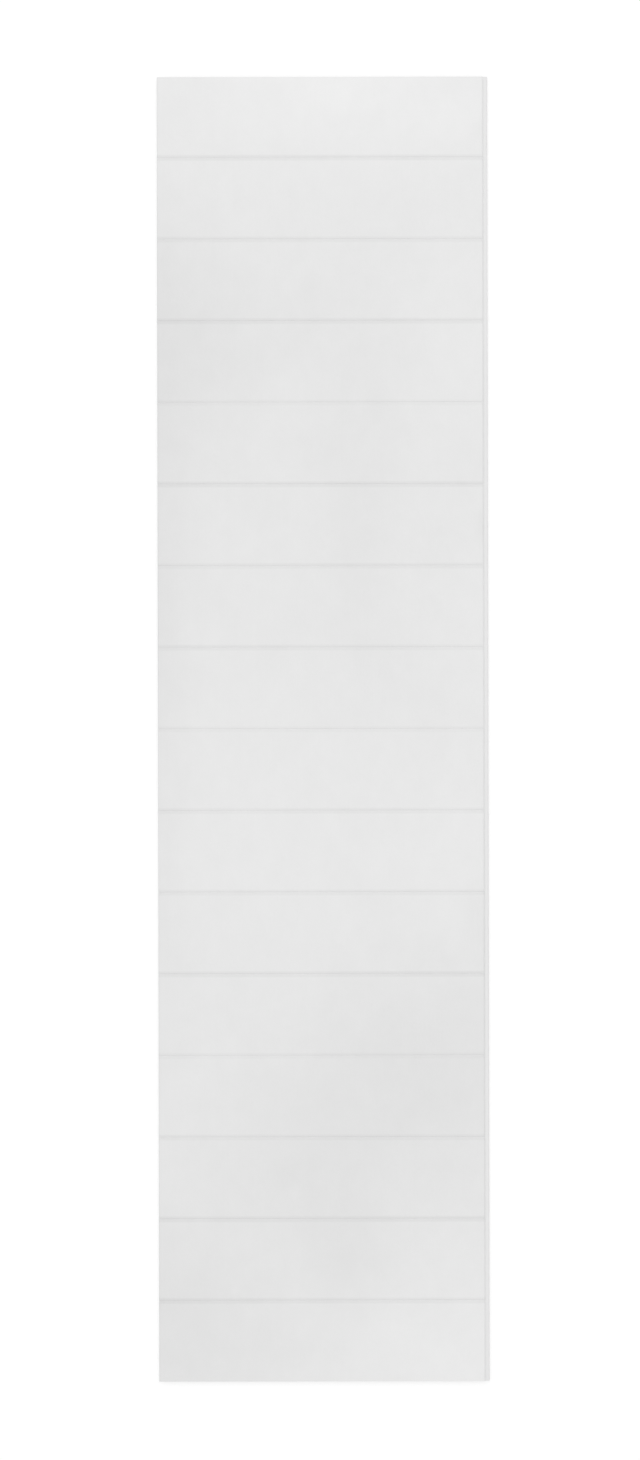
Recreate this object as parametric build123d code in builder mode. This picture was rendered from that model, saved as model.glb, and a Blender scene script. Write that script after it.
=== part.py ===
"""Tongue-and-groove PVC wall cladding panel with a tile face, stored face up.

The panel is one hollow extrusion: two skins joined by webs, with a tongue along one long edge
and a slot along the other. Shallow joints pressed across the face divide it into rows of tiles.
Half a joint along each long edge makes a whole one where two panels meet.

X runs across the cover width with the tongue at +X, Y runs along the length, and Z points out
of the face. The origin is the middle of the back face, so neighbours stand one cover width apart.
"""

import os

from build123d import *

# Overall size in millimetres
panel_length = 2400.0
cover_width = 600.0  # what one panel covers on the wall, without its tongue
thickness = 10.0

# Hollow section
face_skin = 1.4  # thick enough to take the pressed joints
back_skin = 1.0
edge_wall = 1.0  # behind the slot and behind the tongue
web = 0.7
cell_spacing = 12.5  # from web to web, before whole cells are fitted in
cell_corner = 0.5  # inside radius

# Tongue, and the slot that takes the next panel's tongue
tongue_length = 8.0
tongue_thickness = 5.0
tongue_wall = 1.0
tongue_nose = 1.2  # radius of both edges of the tip
slot_side_play = 0.15  # on each side of the tongue
slot_end_play = 0.5  # ahead of the tongue's tip
slot_lead_in = 0.6  # chamfer on both lips

# Joints pressed into the face
tile_height = 147.2
joint_width = 3.0  # at the face
joint_floor = 1.6
joint_depth = 0.6

# Places that follow from the sizes
half_cover = cover_width / 2
tongue_level = thickness / 2
slot_depth = tongue_length + slot_end_play
slot_height = tongue_thickness + 2 * slot_side_play

core_left = -half_cover + slot_depth + edge_wall
core_right = half_cover - edge_wall
core_bottom = back_skin
core_top = thickness - face_skin
core_width = core_right - core_left
core_height = core_top - core_bottom
core_middle = ((core_left + core_right) / 2, (core_bottom + core_top) / 2)
cell_count = round((core_width + web) / cell_spacing)
cell_pitch = (core_width + web) / cell_count
cell_width = cell_pitch - web

row_pitch = tile_height + joint_width
joint_count = round(panel_length / row_pitch) - 1

# One joint across its run: the floor and two sloping sides, open above the face
joint_profile = [
    (-joint_width / 2, joint_depth),
    (-joint_width / 2, 0),
    (-joint_floor / 2, -joint_depth),
    (joint_floor / 2, -joint_depth),
    (joint_width / 2, 0),
    (joint_width / 2, joint_depth),
]

with BuildPart() as panel:
    # Extruded section, drawn on the end at +Y and run along the whole length
    with BuildSketch(Plane.XZ.offset(-panel_length / 2)) as section:
        with Locations((0, thickness / 2)):
            Rectangle(cover_width, thickness)
        with Locations((half_cover, tongue_level)):
            Rectangle(tongue_length, tongue_thickness, align=(Align.MIN, Align.CENTER))
        tongue_tip = section.vertices().group_by(Axis.X)[-1]
        fillet(tongue_tip, radius=tongue_nose)
        with Locations((-half_cover, tongue_level)):
            Rectangle(slot_depth, slot_height, align=(Align.MIN, Align.CENTER), mode=Mode.SUBTRACT)
        slot_lips = section.vertices().group_by(Axis.X)[0].sort_by(Axis.Y)[1:3]
        chamfer(slot_lips, length=slot_lead_in)
        with Locations((-half_cover, thickness), (half_cover, thickness)):
            Polygon(*joint_profile, align=None, mode=Mode.SUBTRACT)
        with Locations(core_middle):
            with GridLocations(cell_pitch, 0, cell_count, 1):
                RectangleRounded(cell_width, core_height, cell_corner, mode=Mode.SUBTRACT)
        with Locations((half_cover, tongue_level)):
            RectangleRounded(
                tongue_length - tongue_wall,
                tongue_thickness - 2 * tongue_wall,
                cell_corner,
                align=(Align.MIN, Align.CENTER),
                mode=Mode.SUBTRACT,
            )
    extrude(amount=panel_length)

    # Joints pressed right across the face, evenly about the middle of the length
    with BuildSketch(Plane.YZ.offset(-half_cover - tongue_length)) as joints:
        with Locations((0, thickness)):
            with GridLocations(row_pitch, 0, joint_count, 1):
                Polygon(*joint_profile, align=None)
    extrude(amount=cover_width + 2 * tongue_length, mode=Mode.SUBTRACT)

panel.part.label = "cladding_panel"

os.makedirs("parts", exist_ok=True)
export_step(panel.part, "parts/cladding_panel.step")
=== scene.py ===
"""Looks of a tongue-and-groove PVC cladding panel with a tile face, lying face up.

The panel is modelled as it is made. One cell of the hollow section is drawn and repeated across the
cover width, the slot and the tongue are drawn on to its two sides, and the section is run along the
length. Then the long edges are eased and the joints pressed across the face. Three finishes dress
it: the satin face, the raw extrusion of the back, edges and cells, and the sawn ends.
"""

import logging
import math
from collections.abc import Callable, Iterator
from contextlib import contextmanager
from dataclasses import dataclass, field
from enum import Enum
from functools import cached_property

import bmesh
import bpy
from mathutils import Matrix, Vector

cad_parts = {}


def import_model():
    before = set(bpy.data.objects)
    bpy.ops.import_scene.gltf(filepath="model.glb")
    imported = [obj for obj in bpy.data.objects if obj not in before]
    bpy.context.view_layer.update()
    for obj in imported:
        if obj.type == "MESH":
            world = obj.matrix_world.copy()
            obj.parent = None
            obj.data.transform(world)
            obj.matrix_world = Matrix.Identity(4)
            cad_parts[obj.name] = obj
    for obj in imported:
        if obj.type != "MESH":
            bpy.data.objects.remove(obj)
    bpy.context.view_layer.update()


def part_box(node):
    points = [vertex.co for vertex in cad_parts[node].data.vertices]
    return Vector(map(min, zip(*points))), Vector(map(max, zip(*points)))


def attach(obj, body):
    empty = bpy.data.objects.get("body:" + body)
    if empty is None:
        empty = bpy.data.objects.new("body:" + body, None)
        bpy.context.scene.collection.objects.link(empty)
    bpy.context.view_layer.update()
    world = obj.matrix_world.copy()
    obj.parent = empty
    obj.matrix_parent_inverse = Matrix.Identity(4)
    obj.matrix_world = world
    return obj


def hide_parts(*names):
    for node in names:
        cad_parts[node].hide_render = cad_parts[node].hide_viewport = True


LOG = logging.getLogger("panel")
MM = 0.001
SAME_PLACE = 0.01 * MM
HAIR = 0.1 * MM
BAKE_MAP = "OFBake"
JOINT_GREY_AND_SHADE = "joint_grey_and_shade"
PVC_REFRACTION = 1.53
WHITE = (1.0, 1.0, 1.0, 1.0)

# Shares of a normal that tell which way a surface looks, and the least angle of a sharp edge, in radians
LOOKS_UP = 0.5
LOOKS_ALONG = 0.3
LOOKS_ACROSS = 0.7
SHARP = 1.0


class Parts(Enum):
    """What an edit picks, by the name of the select mode."""

    VERTS = "VERT"
    EDGES = "EDGE"
    FACES = "FACE"


class Surface(Enum):
    """The surfaces that are finished differently, by their place in the material slots."""

    FACE = 0
    RAW = 1
    SAWN = 2


class Reads(Enum):
    """How clearly a pressed joint reads, as a share of its full grey tone and painted shade."""

    FAINT = 0.65
    PLAIN = 0.95
    CLEAR = 1.25


@contextmanager
def editing(obj: bpy.types.Object) -> Iterator[None]:
    """Holds one object, and nothing else, in edit mode.

    Args:
        obj: The object to edit.

    Yields:
        Nothing, while the object is being edited.
    """
    bpy.ops.object.select_all(action="DESELECT")
    obj.select_set(True)
    bpy.context.view_layer.objects.active = obj
    bpy.ops.object.mode_set(mode="EDIT")
    yield
    bpy.ops.object.mode_set(mode="OBJECT")


def pick(obj: bpy.types.Object, parts: Parts, test: Callable[[object], bool]) -> int:
    """Selects, in edit mode, the elements of one kind that pass a test, and no others.

    Args:
        obj: The object being edited.
        parts: The kind of element to select.
        test: Says of one bmesh element whether it is wanted.

    Returns:
        How many elements were selected.
    """
    bpy.ops.mesh.select_mode(type=parts.value)
    bpy.ops.mesh.select_all(action="DESELECT")
    mesh = bmesh.from_edit_mesh(obj.data)
    found = [part for part in getattr(mesh, parts.name.lower()) if not part.hide and test(part)]
    for part in found:
        part.select_set(True)
    mesh.select_flush_mode()
    bmesh.update_edit_mesh(obj.data)
    return len(found)


def place_key(*values: float) -> tuple[int, ...]:
    """Rounds places in metres to whole steps of SAME_PLACE, so that they can be compared."""
    return tuple(round(value / SAME_PLACE) for value in values)


def near(value: float, target: float) -> bool:
    """Says whether two places in metres are the same."""
    return abs(value - target) < SAME_PLACE


def level(axis: int, value: float) -> None:
    """Flattens what is selected on to a plane.

    Args:
        axis: 0, 1 or 2, for the axis that the plane stands across.
        value: Where the plane crosses that axis, in metres.
    """
    stretch = [1.0, 1.0, 1.0]
    stretch[axis] = 0.0
    centre = [0.0, 0.0, 0.0]
    centre[axis] = value
    bpy.ops.transform.resize(value=stretch, center_override=centre)


def facing(place: tuple[float, float, float]) -> tuple[float, float, float]:
    """Gives the turn of a lamp that looks from a place to the origin."""
    return tuple(Vector(place).to_track_quat("Z", "Y").to_euler())


def extrude_edges(across: float) -> None:
    """Extrudes the selected edges of a flat section along X, in metres."""
    bpy.ops.mesh.extrude_edges_move(TRANSFORM_OT_translate={"value": (across, 0.0, 0.0)})


@dataclass(frozen=True)
class Easing:
    """Long edges that are eased alike: their places along X and Z, the radius and its steps."""

    places: list[tuple[float, float]]
    radius: float
    steps: int


@dataclass
class HollowSection:
    """The extruded section, drawn flat across the panel's end as a sheet of faces.

    Sizes are in metres. The face is up, the slot is at -X and the tongue is at +X.
    """

    cover_width: float
    thickness: float
    tongue_length: float
    joint_width: float = 3.0 * MM
    joint_floor: float = 1.6 * MM
    joint_depth: float = 0.6 * MM
    face_skin: float = 1.4 * MM
    back_skin: float = 1.0 * MM
    edge_wall: float = 1.0 * MM
    web: float = 0.7 * MM
    cell_spacing: float = 12.5 * MM
    cell_corner: float = 0.5 * MM
    tongue_thickness: float = 5.0 * MM
    tongue_wall: float = 1.0 * MM
    tongue_nose: float = 1.2 * MM
    slot_side_play: float = 0.15 * MM
    slot_end_play: float = 0.5 * MM
    slot_lead_in: float = 0.6 * MM
    skin_sag: float = 0.03 * MM
    arris: float = 0.2 * MM

    def __post_init__(self) -> None:
        """Works out the places that follow from the sizes."""
        self.side = self.cover_width / 2
        self.tip = self.side + self.tongue_length
        self.slot_end = -self.side + self.tongue_length + self.slot_end_play
        self.core_left = self.slot_end + self.edge_wall
        self.core_right = self.side - self.edge_wall
        self.core_top = self.thickness - self.face_skin
        spread = self.core_right - self.core_left + self.web
        self.cells = round(spread / self.cell_spacing)
        self.pitch = spread / self.cells
        self.cell_width = self.pitch - self.web
        middle = self.thickness / 2
        slot_half = self.tongue_thickness / 2 + self.slot_side_play
        self.slot_low = middle - slot_half
        self.slot_high = middle + slot_half
        self.tongue_low = middle - self.tongue_thickness / 2
        self.tongue_high = middle + self.tongue_thickness / 2
        self.joint_level = self.thickness - self.joint_depth
        self.joint_edge = self.side - self.joint_width / 2
        self.joint_foot = self.side - self.joint_floor / 2

    def build(self, end: float) -> bpy.types.Object:
        """Draws the whole section.

        Args:
            end: The place along Y where the sheet stands.

        Returns:
            The sheet, with its place in its mesh.
        """
        sheet = self.draw_cell(end)
        self.repeat_cell(sheet)
        with editing(sheet):
            self.draw_slot(sheet)
            self.draw_tongue(sheet)
            bpy.ops.mesh.select_all(action="SELECT")
            bpy.ops.mesh.remove_doubles(threshold=SAME_PLACE / 2)
        return sheet

    def draw_cell(self, end: float) -> bpy.types.Object:
        """Draws the first cell: a frame of two half webs and two skins, sunk a little between webs.

        Args:
            end: The place along Y where the sheet stands.

        Returns:
            The sheet with one cell.
        """
        centre = (self.core_left + self.cell_width / 2, end, self.thickness / 2)
        bpy.ops.object.select_all(action="DESELECT")
        bpy.ops.mesh.primitive_plane_add(size=1.0, location=centre, rotation=(math.pi / 2, 0.0, 0.0))
        sheet = bpy.context.object
        sheet.scale = (self.pitch, self.thickness, 1.0)
        bpy.ops.object.transform_apply()
        half_web = self.web / 2
        cell_middle = (self.back_skin + self.core_top) / 2
        with editing(sheet):
            bpy.ops.mesh.select_all(action="SELECT")
            bpy.ops.mesh.inset(thickness=half_web, depth=0.0)
            pick(sheet, Parts.VERTS, lambda v: near(v.co.z, half_web))
            level(2, self.back_skin)
            pick(sheet, Parts.VERTS, lambda v: near(v.co.z, self.thickness - half_web))
            level(2, self.core_top)
            pick(sheet, Parts.FACES, lambda f: near(f.calc_center_bounds().z, cell_middle))
            bpy.ops.mesh.delete(type="FACE")
            pick(sheet, Parts.EDGES, lambda e: near(e.verts[0].co.z, e.verts[1].co.z))
            bpy.ops.mesh.subdivide(number_cuts=1)
            for skin, sunk in ((0.0, self.skin_sag), (self.thickness, self.thickness - self.skin_sag)):
                pick(sheet, Parts.VERTS, lambda v: near(v.co.x, centre[0]) and near(v.co.z, skin))
                level(2, sunk)
        return sheet

    def repeat_cell(self, sheet: bpy.types.Object) -> None:
        """Repeats the first cell across the core, webs shared.

        Args:
            sheet: The sheet with one cell.
        """
        row = sheet.modifiers.new("cells", "ARRAY")
        row.count = self.cells
        row.use_relative_offset = False
        row.use_constant_offset = True
        row.constant_offset_displace = (self.pitch, 0.0, 0.0)
        row.use_merge_vertices = True
        row.merge_threshold = SAME_PLACE / 2
        bpy.ops.object.modifier_apply(modifier=row.name)

    def draw_slot(self, sheet: bpy.types.Object) -> None:
        """Draws the wall behind the slot and the slot's two lips, half a joint on the upper one.

        Args:
            sheet: The sheet being edited.
        """
        core_side = self.core_left - self.web / 2
        pick(sheet, Parts.EDGES, lambda e: all(near(v.co.x, core_side) for v in e.verts))
        extrude_edges(self.slot_end - core_side)
        bpy.ops.mesh.subdivide(number_cuts=2)
        for third, height in ((1, self.slot_low), (2, self.slot_high)):
            drawn = self.thickness * third / 3
            pick(sheet, Parts.VERTS, lambda v: near(v.co.x, self.slot_end) and near(v.co.z, drawn))
            level(2, height)
        self.pick_upright(sheet, self.slot_end, 0.0, self.slot_low)
        extrude_edges(-self.side - self.slot_end)
        self.pick_upright(sheet, self.slot_end, self.slot_high, self.thickness)
        extrude_edges(-self.joint_edge - self.slot_end)
        extrude_edges(self.joint_edge - self.joint_foot)
        pick(sheet, Parts.VERTS, lambda v: near(v.co.x, -self.joint_foot) and near(v.co.z, self.thickness))
        level(2, self.joint_level)
        self.pick_upright(sheet, -self.joint_foot, self.slot_high, self.joint_level)
        extrude_edges(self.joint_foot - self.side)

    def draw_tongue(self, sheet: bpy.types.Object) -> None:
        """Draws half a joint on the face, the wall behind the tongue and the hollow tongue.

        Args:
            sheet: The sheet being edited.
        """
        core_side = self.core_right + self.web / 2
        bpy.ops.mesh.select_all(action="SELECT")
        bpy.ops.mesh.bisect(plane_co=(self.joint_edge, 0.0, 0.0), plane_no=(1.0, 0.0, 0.0))
        pick(sheet, Parts.VERTS, lambda v: near(v.co.x, self.joint_edge) and near(v.co.z, self.thickness))
        level(2, self.thickness)
        pick(sheet, Parts.VERTS, lambda v: near(v.co.x, core_side) and near(v.co.z, self.thickness))
        level(0, self.joint_foot)
        level(2, self.joint_level)
        pick(sheet, Parts.EDGES, lambda e: all(v.co.x > self.core_right + SAME_PLACE for v in e.verts))
        extrude_edges(self.side - core_side)
        level(0, self.side)
        bpy.ops.mesh.subdivide(number_cuts=4)
        heights = (
            self.tongue_low,
            self.tongue_low + self.tongue_wall,
            self.tongue_high - self.tongue_wall,
            self.tongue_high,
        )
        for fifth, height in enumerate(heights, start=1):
            drawn = self.joint_level * fifth / 5
            pick(sheet, Parts.VERTS, lambda v: near(v.co.x, self.side) and near(v.co.z, drawn))
            level(2, height)
        hollow_end = self.tip - self.tongue_wall
        for low, high in (heights[:2], heights[2:]):
            self.pick_upright(sheet, self.side, low, high)
            extrude_edges(hollow_end - self.side)
            extrude_edges(self.tip - hollow_end)
        pick(sheet, Parts.VERTS, lambda v: v.co.x > hollow_end - SAME_PLACE
             and heights[1] - SAME_PLACE < v.co.z < heights[2] + SAME_PLACE)
        bpy.ops.mesh.edge_face_add()
        pick(sheet, Parts.EDGES, lambda e: all(v.co.x > hollow_end - SAME_PLACE for v in e.verts)
             and len(e.link_faces) == 2)
        bpy.ops.mesh.dissolve_edges(use_verts=False)
        pick(sheet, Parts.VERTS, lambda v: place_key(v.co.x, v.co.z) in {
            place_key(hollow_end, heights[0]),
            place_key(hollow_end, heights[3]),
            place_key(self.tip, heights[1]),
            place_key(self.tip, heights[2]),
        })
        bpy.ops.mesh.dissolve_verts()

    @staticmethod
    def pick_upright(sheet: bpy.types.Object, across: float, low: float, high: float) -> None:
        """Selects the upright edge between two heights.

        Args:
            sheet: The sheet being edited.
            across: The edge's place along X.
            low: Its lower end.
            high: Its upper end.
        """
        ends = {place_key(across, low), place_key(across, high)}
        pick(sheet, Parts.EDGES, lambda e: {place_key(v.co.x, v.co.z) for v in e.verts} == ends)

    def cell_corners(self) -> Iterator[tuple[float, float]]:
        """Finds the corners of every cell, and of the hollow in the tongue.

        Yields:
            A corner's places along X and Z.
        """
        for cell in range(self.cells):
            left = self.core_left + cell * self.pitch
            for across in (left, left + self.cell_width):
                yield across, self.back_skin
                yield across, self.core_top
        for across in (self.side, self.tip - self.tongue_wall):
            yield across, self.tongue_low + self.tongue_wall
            yield across, self.tongue_high - self.tongue_wall

    def eased_edges(self) -> Iterator[Easing]:
        """Lists the long edges that aren't sharp.

        Yields:
            The edges that are eased alike.
        """
        nose = [(self.tip, self.tongue_low), (self.tip, self.tongue_high)]
        lips = [(-self.side, self.slot_low), (-self.side, self.slot_high)]
        outer = [(-self.side, 0.0), (self.side, 0.0)]
        outer += [(sign * self.side, self.joint_level) for sign in (-1, 1)]
        outer += [(sign * self.joint_edge, self.thickness) for sign in (-1, 1)]
        yield Easing(list(self.cell_corners()), self.cell_corner, steps=2)
        yield Easing(nose, self.tongue_nose, steps=4)
        yield Easing(lips, self.slot_lead_in, steps=1)
        yield Easing(outer, self.arris, steps=2)


class Board:
    """A tree of shader nodes, with short ways to add and join them."""

    def __init__(self, tree: bpy.types.NodeTree) -> None:
        """Starts with an empty tree.

        Args:
            tree: The tree.
        """
        self.tree = tree
        tree.nodes.clear()

    def add(
        self,
        kind: str,
        inputs: dict[str | int, object] | None = None,
        **settings: object,
    ) -> bpy.types.Node:
        """Adds a node.

        Args:
            kind: The node's type.
            inputs: What each input socket holds or is joined to, by name or place.
            **settings: The node's own settings.

        Returns:
            The node.
        """
        node = self.tree.nodes.new(kind)
        for name, value in settings.items():
            setattr(node, name, value)
        for name, value in (inputs or {}).items():
            if isinstance(value, bpy.types.NodeSocket):
                self.tree.links.new(value, node.inputs[name])
            else:
                node.inputs[name].default_value = value
        return node

    def maths(self, operation: str, *values: object) -> bpy.types.NodeSocket:
        """Adds a sum of numbers or sockets and gives its result."""
        return self.add("ShaderNodeMath", dict(enumerate(values)), operation=operation).outputs["Value"]

    def seen_directly(self) -> bpy.types.NodeSocket:
        """Tells what the camera, a reflection or a clear part sees from what only gives light.

        Returns:
            The socket that holds one for what is seen, and nought for light.
        """
        rays = self.add("ShaderNodeLightPath").outputs
        glossy = self.maths("MAXIMUM", rays["Is Camera Ray"], rays["Is Glossy Ray"])
        return self.maths("MAXIMUM", glossy, rays["Is Transmission Ray"])


@dataclass(frozen=True)
class Mark:
    """One noise on a surface, with how much it sways the tone, the roughness and the height.

    Its scale is in cycles a metre along each axis, and its detail is the number of finer octaves.
    """

    scale: tuple[float, float, float]
    detail: float
    tone: float
    rough: float = 0.0
    height: float = 0.0


class Coat(Board):
    """A material's nodes."""

    def __init__(self, name: str) -> None:
        """Starts an empty material.

        Args:
            name: The material's name.
        """
        self.material = bpy.data.materials.new(name)
        self.material.use_nodes = True
        super().__init__(self.material.node_tree)

    @cached_property
    def place(self) -> bpy.types.NodeSocket:
        """The place on the object, in metres."""
        return self.add("ShaderNodeTexCoord").outputs["Object"]

    def noise(self, mark: Mark) -> bpy.types.NodeSocket:
        """Adds a mark's noise, of about -0.5 to 0.5.

        Args:
            mark: The mark.

        Returns:
            The socket that holds it.
        """
        scaled = self.add("ShaderNodeMapping", {"Vector": self.place, "Scale": mark.scale})
        inputs = {"Vector": scaled.outputs["Vector"], "Scale": 1.0, "Detail": mark.detail}
        noise = self.add("ShaderNodeTexNoise", inputs).outputs["Fac"]
        return self.maths("SUBTRACT", noise, 0.5)

    def sway(self, value: object, noise: bpy.types.NodeSocket, share: float) -> object:
        """Adds a share of a noise to a value, and leaves the value as it is if there is no share."""
        return self.maths("MULTIPLY_ADD", noise, share, value) if share else value

    def marked(self, tone: object, rough: object, marks: tuple[Mark, ...]) -> tuple[object, object, object]:
        """Sways a surface's tone, roughness and height by its marks.

        Args:
            tone: The tone without them.
            rough: The roughness without them.
            marks: The marks.

        Returns:
            The tone, the roughness and the height, which is about one from low to high.
        """
        height: object = 0.0
        for mark in marks:
            noise = self.noise(mark)
            tone = self.sway(tone, noise, mark.tone)
            rough = self.sway(rough, noise, mark.rough)
            height = self.sway(height, noise, mark.height)
        return tone, rough, height

    def plastic(self, colour: object, rough: object, height: object, relief: float) -> bpy.types.Material:
        """Makes the surface a plastic.

        Args:
            colour: Its grey.
            rough: Its roughness.
            height: Its relief, about one from low to high.
            relief: How deep that is, in metres.

        Returns:
            The material.
        """
        bump = self.add("ShaderNodeBump", {"Height": height, "Strength": 1.0, "Distance": relief})
        shader = self.add("ShaderNodeBsdfPrincipled", {
            "Base Color": colour,
            "Roughness": rough,
            "IOR": PVC_REFRACTION,
            "Normal": bump.outputs["Normal"],
        })
        return self.finish(shader)

    def finish(self, shader: bpy.types.Node) -> bpy.types.Material:
        """Joins the surface to the output.

        Args:
            shader: The shader node.

        Returns:
            The material.
        """
        self.add("ShaderNodeOutputMaterial", {"Surface": shader.outputs[0]})
        return self.material


@dataclass(frozen=True)
class LightShadePatch:
    """One soft oval of the face that is paler or darker: places and sizes in metres, turn in degrees."""

    across: float
    along: float
    half_width: float
    half_length: float
    lift: float
    turn: float = 0.0


@dataclass(frozen=True)
class SatinFace:
    """The satin white face: paler and darker in soft patches, most of them painted light and shade, faintly
    drawn along its length, darker in the joints from a grey tone and painted shade.

    Its marks are a broad mottle, patches, lines drawn by the die, a soft peel and a fine grain.
    """

    tone: float = 0.80
    joint_shade: float = 0.072
    joint_dulling: float = 0.10
    roughness: float = 0.44
    relief: float = 0.10 * MM
    drift: float = 0.06
    drift_scale: float = 4.0
    drift_detail: float = 2.0
    # Sways the joints' grey tone and painted shade at random along them.
    joint_unevenness: Mark = Mark((9.0, 3.0, 0.0), 2.0, tone=0.9)
    marks: tuple[Mark, ...] = (
        Mark((11.0, 11.0, 11.0), 4.0, tone=0.056, rough=0.12, height=2.0),
        Mark((34.0, 24.0, 0.0), 3.0, tone=0.040),
        Mark((150.0, 1.4, 150.0), 3.0, tone=0.016, rough=0.14, height=0.8),
        Mark((210.0, 130.0, 210.0), 1.0, tone=0.014, height=0.9),
        Mark((1100.0, 1100.0, 1100.0), 2.0, tone=0.040, rough=0.12, height=0.15),
    )
    # Paler and darker patches: most are painted light and shade for the face's uneven light and soft
    # reflections, the first, at the far end, a painted sheen; the smallest are spots and streaks.
    light_shade_patches: tuple[LightShadePatch, ...] = (
        LightShadePatch(0.06, 1.26, 0.62, 0.38, 0.067),
        LightShadePatch(0.02, 1.17, 0.12, 0.06, 0.012),
        LightShadePatch(0.25, 1.13, 0.10, 0.07, 0.012),
        LightShadePatch(-0.30, 0.70, 0.26, 0.36, -0.066),
        LightShadePatch(-0.31, 0.25, 0.12, 0.42, -0.030),
        LightShadePatch(0.075, 0.42, 0.10, 0.50, -0.024),
        LightShadePatch(0.27, 0.76, 0.19, 0.36, 0.018),
        LightShadePatch(-0.03, 0.74, 0.26, 0.20, -0.016),
        LightShadePatch(0.305, 0.37, 0.04, 0.06, -0.060),
        LightShadePatch(-0.09, -0.18, 0.32, 0.42, 0.024),
        LightShadePatch(0.27, -0.24, 0.26, 0.36, 0.028),
        LightShadePatch(0.15, -0.66, 0.54, 0.30, -0.048, 34.0),
        LightShadePatch(0.31, -0.34, 0.07, 0.12, -0.030),
        LightShadePatch(-0.29, -1.10, 0.34, 0.34, -0.048),
        LightShadePatch(-0.06, -0.83, 0.22, 0.15, -0.016),
        LightShadePatch(0.045, -0.965, 0.15, 0.15, -0.040),
        LightShadePatch(0.26, -1.17, 0.34, 0.27, 0.042),
        LightShadePatch(-0.166, 0.985, 0.020, 0.065, 0.016),
        LightShadePatch(-0.31, 0.12, 0.10, 1.30, -0.020),
        LightShadePatch(0.00, 0.53, 0.09, 0.11, -0.014),
        LightShadePatch(0.28, 0.20, 0.14, 0.28, 0.018),
        LightShadePatch(-0.044, -0.855, 0.013, 0.030, 0.016),
        LightShadePatch(-0.158, -1.030, 0.013, 0.016, 0.016),
    )

    def material(self) -> bpy.types.Material:
        """Makes the face's material.

        Returns:
            The material.
        """
        coat = Coat("satin_face")
        # The face's grey takes its patches of painted light and shade, then its marks.
        shade, rough, height = coat.marked(self.painted_light_and_shade(coat), self.roughness, self.marks)
        # The joints' attribute holds a grey joint tone and painted shade in and beside the grooves.
        mark = coat.add("ShaderNodeAttribute", attribute_name=JOINT_GREY_AND_SHADE).outputs["Fac"]
        uneven_joint = coat.sway(1.0, coat.noise(self.joint_unevenness), self.joint_unevenness.tone)
        joint = coat.maths("MULTIPLY", mark, uneven_joint)
        lit = coat.maths("MULTIPLY", shade, self.tone)
        kept = coat.maths("MULTIPLY_ADD", joint, -self.joint_shade, 1.0)
        colour = coat.maths("MULTIPLY", lit, kept)
        dulled = coat.maths("MULTIPLY_ADD", joint, self.joint_dulling, rough)
        return coat.plastic(colour, dulled, height, self.relief)

    def painted_light_and_shade(self, coat: Coat) -> bpy.types.NodeSocket:
        """Adds the face's soft paler and darker patches, most of them painted light and shade, their
        outlines drifting, to a tone of one.

        Args:
            coat: The material's nodes.

        Returns:
            The socket that holds the sum.
        """
        inputs = {"Vector": coat.place, "Scale": self.drift_scale, "Detail": self.drift_detail}
        wander = coat.add("ShaderNodeTexNoise", inputs)
        offset = coat.add("ShaderNodeVectorMath", {
            0: wander.outputs["Color"],
            1: (self.drift, self.drift, 0.0),
            2: (-self.drift / 2, -self.drift / 2, 0.0),
        }, operation="MULTIPLY_ADD")
        place = coat.add("ShaderNodeVectorMath", {0: coat.place, 1: offset.outputs[0]}, operation="ADD")
        total: object = 1.0
        for light_shade_patch in self.light_shade_patches:
            oval = coat.add("ShaderNodeMapping", {
                "Vector": place.outputs[0],
                "Location": (light_shade_patch.across, light_shade_patch.along, 0.0),
                "Rotation": (0.0, 0.0, math.radians(light_shade_patch.turn)),
                "Scale": (light_shade_patch.half_width, light_shade_patch.half_length, 1.0),
            }, vector_type="TEXTURE")
            distance = coat.add("ShaderNodeVectorMath", {0: oval.outputs[0]}, operation="LENGTH")
            soft = coat.add("ShaderNodeMapRange", {
                "Value": distance.outputs["Value"],
                "From Min": 0.0,
                "From Max": 1.0,
                "To Min": light_shade_patch.lift,
                "To Max": 0.0,
            }, interpolation_type="SMOOTHSTEP")
            total = coat.maths("ADD", soft.outputs["Result"], total)
        return total


@dataclass(frozen=True)
class PlainFinish:
    """A finish of one tone, swayed by its marks."""

    name: str
    tone: float
    roughness: float
    relief: float
    marks: tuple[Mark, ...]

    def material(self) -> bpy.types.Material:
        """Makes the finish's material.

        Returns:
            The material.
        """
        coat = Coat(self.name)
        return coat.plastic(*coat.marked(self.tone, self.roughness, self.marks), self.relief)


@dataclass(frozen=True)
class RawExtrusion(PlainFinish):
    """The bare extrusion of the back, edges and cells: lines drawn by the die, a mottle and a grain."""

    name: str = "raw_extrusion"
    tone: float = 0.80
    roughness: float = 0.44
    relief: float = 0.05 * MM
    marks: tuple[Mark, ...] = (
        Mark((420.0, 0.7, 420.0), 4.0, tone=0.060, rough=0.22, height=1.2),
        Mark((18.0, 6.0, 18.0), 4.0, tone=0.030, rough=0.12, height=0.8),
        Mark((1100.0, 1100.0, 1100.0), 2.0, tone=0.024, rough=0.12, height=0.12),
    )


@dataclass(frozen=True)
class SawnEnd(PlainFinish):
    """The sawn ends: dull, with the saw's upright scratches, its broader steps and a little dust."""

    name: str = "sawn_end"
    tone: float = 0.79
    roughness: float = 0.66
    relief: float = 0.10 * MM
    marks: tuple[Mark, ...] = (
        Mark((1500.0, 0.0, 90.0), 3.0, tone=0.16, rough=0.20, height=0.8),
        Mark((240.0, 0.0, 40.0), 1.0, tone=0.06, height=0.8),
        Mark((420.0, 420.0, 420.0), 4.0, tone=0.10, rough=0.20, height=0.4),
    )


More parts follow.
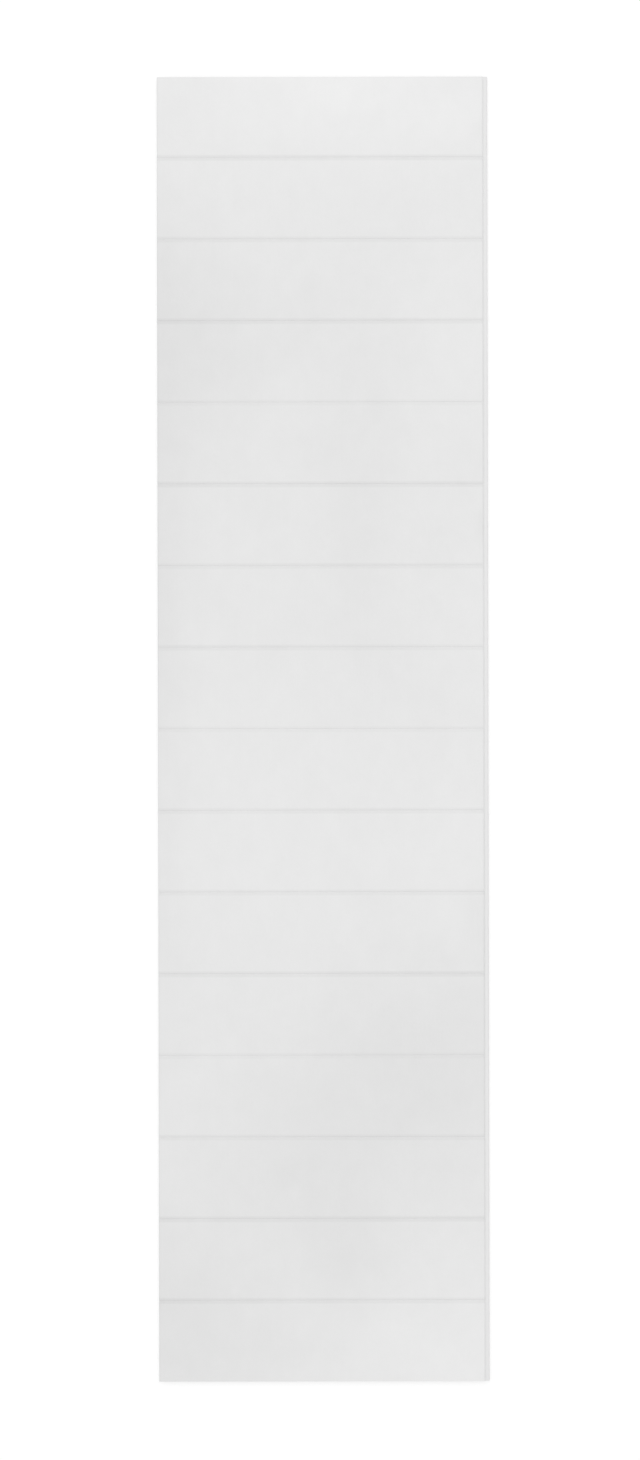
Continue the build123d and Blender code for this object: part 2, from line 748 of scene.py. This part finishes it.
@dataclass(frozen=True)
class Room:
    """A part of the bake map, in shares of the map."""

    left: float
    low: float
    width: float
    height: float

    def at(self, across: float, up: float) -> tuple[float, float]:
        """Gives the place on the map that is some shares across and up the room."""
        return self.left + across * self.width, self.low + up * self.height


class Rooms(Enum):
    """Where each part of the panel is baked. The near half and end are the ones at -Y."""

    NEAR_FACE = Room(0.0, 0.03, 0.425, 0.965)
    FAR_FACE = Room(0.43, 0.03, 0.425, 0.965)
    NEAR_END = Room(0.0, 0.001, 0.86, 0.0105)
    FAR_END = Room(0.0, 0.0135, 0.86, 0.0105)
    BACK = Room(0.865, 0.03, 0.06, 0.965)
    EDGES = Room(0.94, 0.03, 0.008, 0.965)
    LEDGES = Room(0.95, 0.03, 0.008, 0.965)
    WEBS = Room(0.98, 0.03, 0.008, 0.965)
    SKINS = Room(0.99, 0.03, 0.008, 0.965)


@dataclass
class TilePanel:
    """The panel: the section run along its length, joints pressed across its face.

    The joints' profile says, for each line beside a joint's middle, how far off it is, how deep it
    is pressed, both in millimetres, and its share of the joint's grey tone and painted shade.
    """

    section: HollowSection
    start: float
    end: float
    row_pitch: float = 150.2 * MM
    end_ease: float = 0.12 * MM
    smooth_angle: float = math.radians(35.0)
    # Painted shade on the sloped half joints along both long edges, and its least share there.
    edge_painted_shade: float = 0.28
    edge_shoulder: float = 0.3
    profile_mm: tuple[tuple[float, float, float], ...] = (
        (0.0, 0.60, 0.58),
        (0.55, 0.60, 0.58),
        (0.80, 0.55, 0.58),
        (1.10, 0.34, 0.58),
        (1.40, 0.16, 0.58),
        (1.70, 0.085, 0.58),
        (2.50, 0.045, 0.56),
        (4.50, 0.012, 0.46),
        (6.50, 0.0, 0.0),
    )
    reads: tuple[Reads, ...] = (
        Reads.CLEAR,
        Reads.PLAIN,
        Reads.CLEAR,
        Reads.FAINT,
        Reads.CLEAR,
        Reads.PLAIN,
        Reads.PLAIN,
        Reads.FAINT,
        Reads.PLAIN,
        Reads.PLAIN,
        Reads.CLEAR,
        Reads.FAINT,
        Reads.PLAIN,
        Reads.CLEAR,
        Reads.CLEAR,
    )
    face: SatinFace = field(default_factory=SatinFace)
    raw: RawExtrusion = field(default_factory=RawExtrusion)
    sawn: SawnEnd = field(default_factory=SawnEnd)

    def __post_init__(self) -> None:
        """Works out where the joints are, the one nearest +Y first."""
        self.length = self.end - self.start
        self.middle = (self.start + self.end) / 2
        count = round(self.length / self.row_pitch) - 1
        self.joints = [self.middle + self.row_pitch * ((count - 1) / 2 - index) for index in range(count)]

    def build(self) -> bpy.types.Object:
        """Models the whole panel.

        Returns:
            The panel, with its place in its mesh.
        """
        panel = self.section.build(self.start)
        panel.name = "tile_panel"
        panel.data.name = "tile_panel"
        with editing(panel):
            bpy.ops.mesh.select_all(action="SELECT")
            bpy.ops.mesh.extrude_region_move(TRANSFORM_OT_translate={"value": (0.0, self.length, 0.0)})
            bpy.ops.mesh.select_all(action="SELECT")
            bpy.ops.mesh.normals_make_consistent(inside=False)
            self.ease_long_edges(panel)
            self.cut_joint_lines(panel)
            self.press_joints(panel)
            self.ease_ends(panel)
        self.smooth(panel)
        self.mark_joints(panel)
        return panel

    def ease_long_edges(self, panel: bpy.types.Object) -> None:
        """Rounds the edges that run along the panel.

        Args:
            panel: The panel being edited.
        """
        for easing in self.section.eased_edges():
            wanted = {place_key(*place) for place in easing.places}
            pick(panel, Parts.EDGES, lambda e: not near(e.verts[0].co.y, e.verts[1].co.y)
                 and place_key(e.verts[0].co.x, e.verts[0].co.z) in wanted)
            bpy.ops.mesh.bevel(offset=easing.radius, segments=easing.steps, profile=0.5, affect="EDGES")

    def on_face(self, normal: Vector, height: float) -> bool:
        """Says whether a surface of this normal and height belongs to the tile face."""
        return normal.z > LOOKS_UP and height > self.section.joint_level - HAIR

    def at_end(self, along: float) -> bool:
        """Says whether a place along the panel is at one of its sawn ends."""
        return min(along - self.start, self.end - along) < self.end_ease + SAME_PLACE

    def cut_joint_lines(self, panel: bpy.types.Object) -> None:
        """Cuts the face, and nothing else, along every line of the joints' profile.

        Args:
            panel: The panel being edited.
        """
        pick(panel, Parts.FACES, lambda f: self.on_face(f.normal, f.calc_center_median().z))
        bpy.ops.mesh.hide(unselected=True)
        for joint in self.joints:
            for offset, _, _ in self.profile_mm:
                for line in sorted({joint - offset * MM, joint + offset * MM}):
                    bpy.ops.mesh.select_all(action="SELECT")
                    bpy.ops.mesh.bisect(plane_co=(0.0, line, 0.0), plane_no=(0.0, 1.0, 0.0))

    def press_joints(self, panel: bpy.types.Object) -> None:
        """Presses the cut lines down to the joints' profile, and shows the hidden rest again.

        Args:
            panel: The panel being edited.
        """
        for offset, depth, _ in self.profile_mm:
            lines = {place_key(joint + side * offset * MM) for joint in self.joints for side in (-1, 1)}
            height = self.section.thickness - depth * MM
            pick(panel, Parts.VERTS, lambda v: v.co.z > height and place_key(v.co.y) in lines)
            level(2, height)
        bpy.ops.mesh.reveal(select=False)

    def ease_ends(self, panel: bpy.types.Object) -> None:
        """Takes the sharpness off the sawn ends' edges.

        Args:
            panel: The panel being edited.
        """
        pick(panel, Parts.EDGES, lambda e: all(self.at_end(v.co.y) for v in e.verts)
             and e.calc_face_angle(0.0) > SHARP)
        bpy.ops.mesh.bevel(offset=self.end_ease, segments=1, affect="EDGES", clamp_overlap=True)
        bpy.ops.mesh.select_all(action="SELECT")
        bpy.ops.mesh.remove_doubles(threshold=SAME_PLACE / 2)

    def smooth(self, panel: bpy.types.Object) -> None:
        """Shades round edges smooth, and keeps flat faces flat beside them.

        Args:
            panel: The panel.
        """
        bpy.ops.object.shade_smooth_by_angle(angle=self.smooth_angle)
        weighted = panel.modifiers.new("flat_faces", "WEIGHTED_NORMAL")
        weighted.keep_sharp = True
        bpy.ops.object.modifier_apply(modifier=weighted.name)

    def mark_joints(self, panel: bpy.types.Object) -> None:
        """Stores at each point how much of the joints' grey tone and painted shade it takes, with extra
        painted shade on the long edges' half joints.

        Args:
            panel: The panel.
        """
        section = self.section
        marks = panel.data.attributes.new(JOINT_GREY_AND_SHADE, "FLOAT", "POINT")
        for vertex, mark in zip(panel.data.vertices, marks.data):
            depth = section.thickness - vertex.co.z
            if depth > section.joint_depth + SAME_PLACE:
                continue
            nearest = min(range(len(self.joints)), key=lambda index: abs(self.joints[index] - vertex.co.y))
            offset = abs(self.joints[nearest] - vertex.co.y)
            beyond = (tone for line, _, tone in self.profile_mm if line * MM > offset - SAME_PLACE)
            mark.value = self.reads[nearest].value * next(beyond, 0.0)
            # The half joints along both long edges take extra painted shade.
            if abs(vertex.co.x) > section.joint_edge - section.arris - SAME_PLACE:
                mark.value += self.edge_painted_shade * max(depth / section.joint_depth, self.edge_shoulder)

    def surface_of(self, polygon: bpy.types.MeshPolygon) -> Surface:
        """Finds the finish that a face of the mesh takes.

        Args:
            polygon: The face.

        Returns:
            The surface that it belongs to.
        """
        if self.at_end(polygon.center.y) and abs(polygon.normal.y) > LOOKS_ALONG:
            return Surface.SAWN
        if self.on_face(polygon.normal, polygon.center.z):
            return Surface.FACE
        return Surface.RAW

    def dress(self, panel: bpy.types.Object, node: str) -> None:
        """Gives each surface its finish and its place to bake, and puts the panel in its solid's place.

        Args:
            panel: The panel.
            node: The solid that it stands for.
        """
        mesh = panel.data
        for finish in (self.face, self.raw, self.sawn):
            mesh.materials.append(finish.material())
        layer = mesh.uv_layers.new(name=BAKE_MAP)
        for polygon in mesh.polygons:
            polygon.material_index = self.surface_of(polygon).value
            for corner in polygon.loop_indices:
                place = mesh.vertices[mesh.loops[corner].vertex_index].co
                layer.data[corner].uv = self.bake_place(polygon, place)
        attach(panel, "root")
        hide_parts(node)

    def bake_place(self, polygon: bpy.types.MeshPolygon, place: Vector) -> tuple[float, float]:
        """Finds a corner's place on the bake map, where the face's two halves take most of the room.

        Args:
            polygon: The face that the corner belongs to.
            place: The corner's place on the panel.

        Returns:
            The place across and up the map.
        """
        section = self.section
        across = (place.x + section.side) / (section.tip + section.side)
        along = (place.y - self.start) / self.length
        high = place.z / section.thickness
        far = polygon.center.y > self.middle
        surface = Surface(polygon.material_index)
        if surface is Surface.SAWN:
            return (Rooms.FAR_END if far else Rooms.NEAR_END).value.at(across, high)
        if surface is Surface.FACE:
            return (Rooms.FAR_FACE if far else Rooms.NEAR_FACE).value.at(across, along * 2 - int(far))
        if polygon.normal.z < -LOOKS_UP and polygon.center.z < HAIR:
            return Rooms.BACK.value.at(across, along)
        inside = section.core_left - MM < polygon.center.x < section.core_right + MM
        if abs(polygon.normal.x) > LOOKS_ACROSS:
            return (Rooms.WEBS if inside else Rooms.EDGES).value.at(high, along)
        if inside:
            bay = (place.x - section.core_left) % section.pitch / section.pitch
            return Rooms.SKINS.value.at(bay, along)
        return Rooms.LEDGES.value.at(across, along)


@dataclass
class Studio:
    """The pale floor, the soft light and the camera, with the panel framed as photographed.

    Sizes are in metres, but the frame and the panel in it are in pixels, and the lens and the sensor
    in millimetres.
    """

    frame_width: int = 640
    frame_height: int = 1460
    panel_left: float = 157.8
    panel_right: float = 488.5
    panel_top: float = 76.8
    panel_bottom: float = 1381.4
    roll: float = math.radians(0.115)
    lens: float = 85.0
    sensor: float = 36.0
    floor_size: float = 60.0
    floor_gap: float = 0.1 * MM
    floor_glow: float = 0.595
    floor_tone: float = 0.46
    floor_bounce: float = 0.85
    ambient: float = 0.524
    key_strength: float = 1.295
    key_spread: float = math.radians(85.0)
    key_side: tuple[float, float, float] = (-0.10, 0.22, 1.0)
    sheen_power: float = 5.0
    sheen_place: tuple[float, float, float] = (0.25, 2.6, 3.6)
    sheen_size: tuple[float, float] = (2.4, 0.8)

    def build(self, low: Vector, high: Vector) -> None:
        """Sets up everything round the panel.

        Args:
            low: The panel's lowest corner.
            high: Its highest corner.
        """
        scene = bpy.context.scene
        scene.view_settings.view_transform = "Standard"
        self.lay_floor()
        self.light_world(scene)
        self.hang_key()
        self.hang_sheen()
        self.set_camera(scene, low, high)

    def lay_floor(self) -> None:
        """Lays a white floor that keeps the panel's shadow."""
        bpy.ops.object.select_all(action="DESELECT")
        bpy.ops.mesh.primitive_plane_add(size=self.floor_size, location=(0.0, 0.0, -self.floor_gap))
        floor = bpy.context.object
        floor.name = "floor"
        bpy.ops.object.transform_apply()
        coat = Coat("pale_floor")
        seen = coat.seen_directly()
        bounce = coat.add("ShaderNodeBsdfDiffuse", {"Color": (self.floor_bounce,) * 3 + (1.0,)})
        shadow = coat.add("ShaderNodeBsdfDiffuse", {"Color": (self.floor_tone,) * 3 + (1.0,)})
        glow = coat.add("ShaderNodeEmission", {"Strength": self.floor_glow})
        white = coat.add("ShaderNodeAddShader", {0: shadow.outputs[0], 1: glow.outputs[0]})
        mixed = coat.add("ShaderNodeMixShader", {0: seen, 1: bounce.outputs[0], 2: white.outputs[0]})
        floor.data.materials.append(coat.finish(mixed))

    def light_world(self, scene: bpy.types.Scene) -> None:
        """Makes the surroundings white to look at, and an even soft light.

        Args:
            scene: The scene.
        """
        world = bpy.data.worlds.new("studio")
        scene.world = world
        world.use_nodes = True
        board = Board(world.node_tree)
        strength = board.add("ShaderNodeMapRange", {
            "Value": board.seen_directly(),
            "To Min": self.ambient,
            "To Max": 1.0,
        })
        background = board.add("ShaderNodeBackground", {
            "Color": WHITE,
            "Strength": strength.outputs["Result"],
        })
        board.add("ShaderNodeOutputWorld", {"Surface": background.outputs[0]})

    def hang_key(self) -> None:
        """Hangs the key, a broad even light."""
        bpy.ops.object.light_add(type="SUN", location=self.key_side, rotation=facing(self.key_side))
        key = bpy.context.object
        key.name = "key"
        key.data.energy = self.key_strength
        key.data.angle = self.key_spread

    def hang_sheen(self) -> None:
        """Hangs a weak soft box beyond the far end, for the satin to reflect."""
        turn = facing(self.sheen_place)
        bpy.ops.object.light_add(type="AREA", location=self.sheen_place, rotation=turn)
        sheen = bpy.context.object
        sheen.name = "sheen"
        sheen.data.shape = "RECTANGLE"
        sheen.data.size, sheen.data.size_y = self.sheen_size
        sheen.data.energy = self.sheen_power
        sheen.visible_camera = False

    def set_camera(self, scene: bpy.types.Scene, low: Vector, high: Vector) -> None:
        """Points the camera straight down, so that the panel lies in the frame as photographed.

        Args:
            scene: The scene.
            low: The panel's lowest corner.
            high: Its highest corner.
        """
        pixel = (high.y - low.y) / (self.panel_bottom - self.panel_top)
        right = ((self.panel_left + self.panel_right) - self.frame_width) / 2 * pixel
        up = (self.frame_height - (self.panel_top + self.panel_bottom)) / 2 * pixel
        distance = self.frame_height * pixel * self.lens / self.sensor
        centre = (low + high) / 2
        bpy.ops.object.camera_add(
            location=(centre.x - right, centre.y - up, high.z + distance),
            rotation=(0.0, 0.0, -self.roll),
        )
        camera = bpy.context.object
        camera.data.lens = self.lens
        camera.data.sensor_width = self.sensor
        scene.camera = camera


def main() -> None:
    """Builds the panel and the studio round it."""
    logging.basicConfig(level=logging.INFO, format="%(message)s")
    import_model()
    low, high = (Vector(corner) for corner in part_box("cladding_panel"))
    section = HollowSection(cover_width=-2 * low.x, thickness=high.z, tongue_length=high.x + low.x)
    panel = TilePanel(section, low.y, high.y)
    piece = panel.build()
    panel.dress(piece, "cladding_panel")
    LOG.info("%s: %d faces", piece.name, len(piece.data.polygons))
    Studio().build(low, high)
    LOG.info("studio: floor, lamps and camera")


if __name__ == "__main__":
    main()
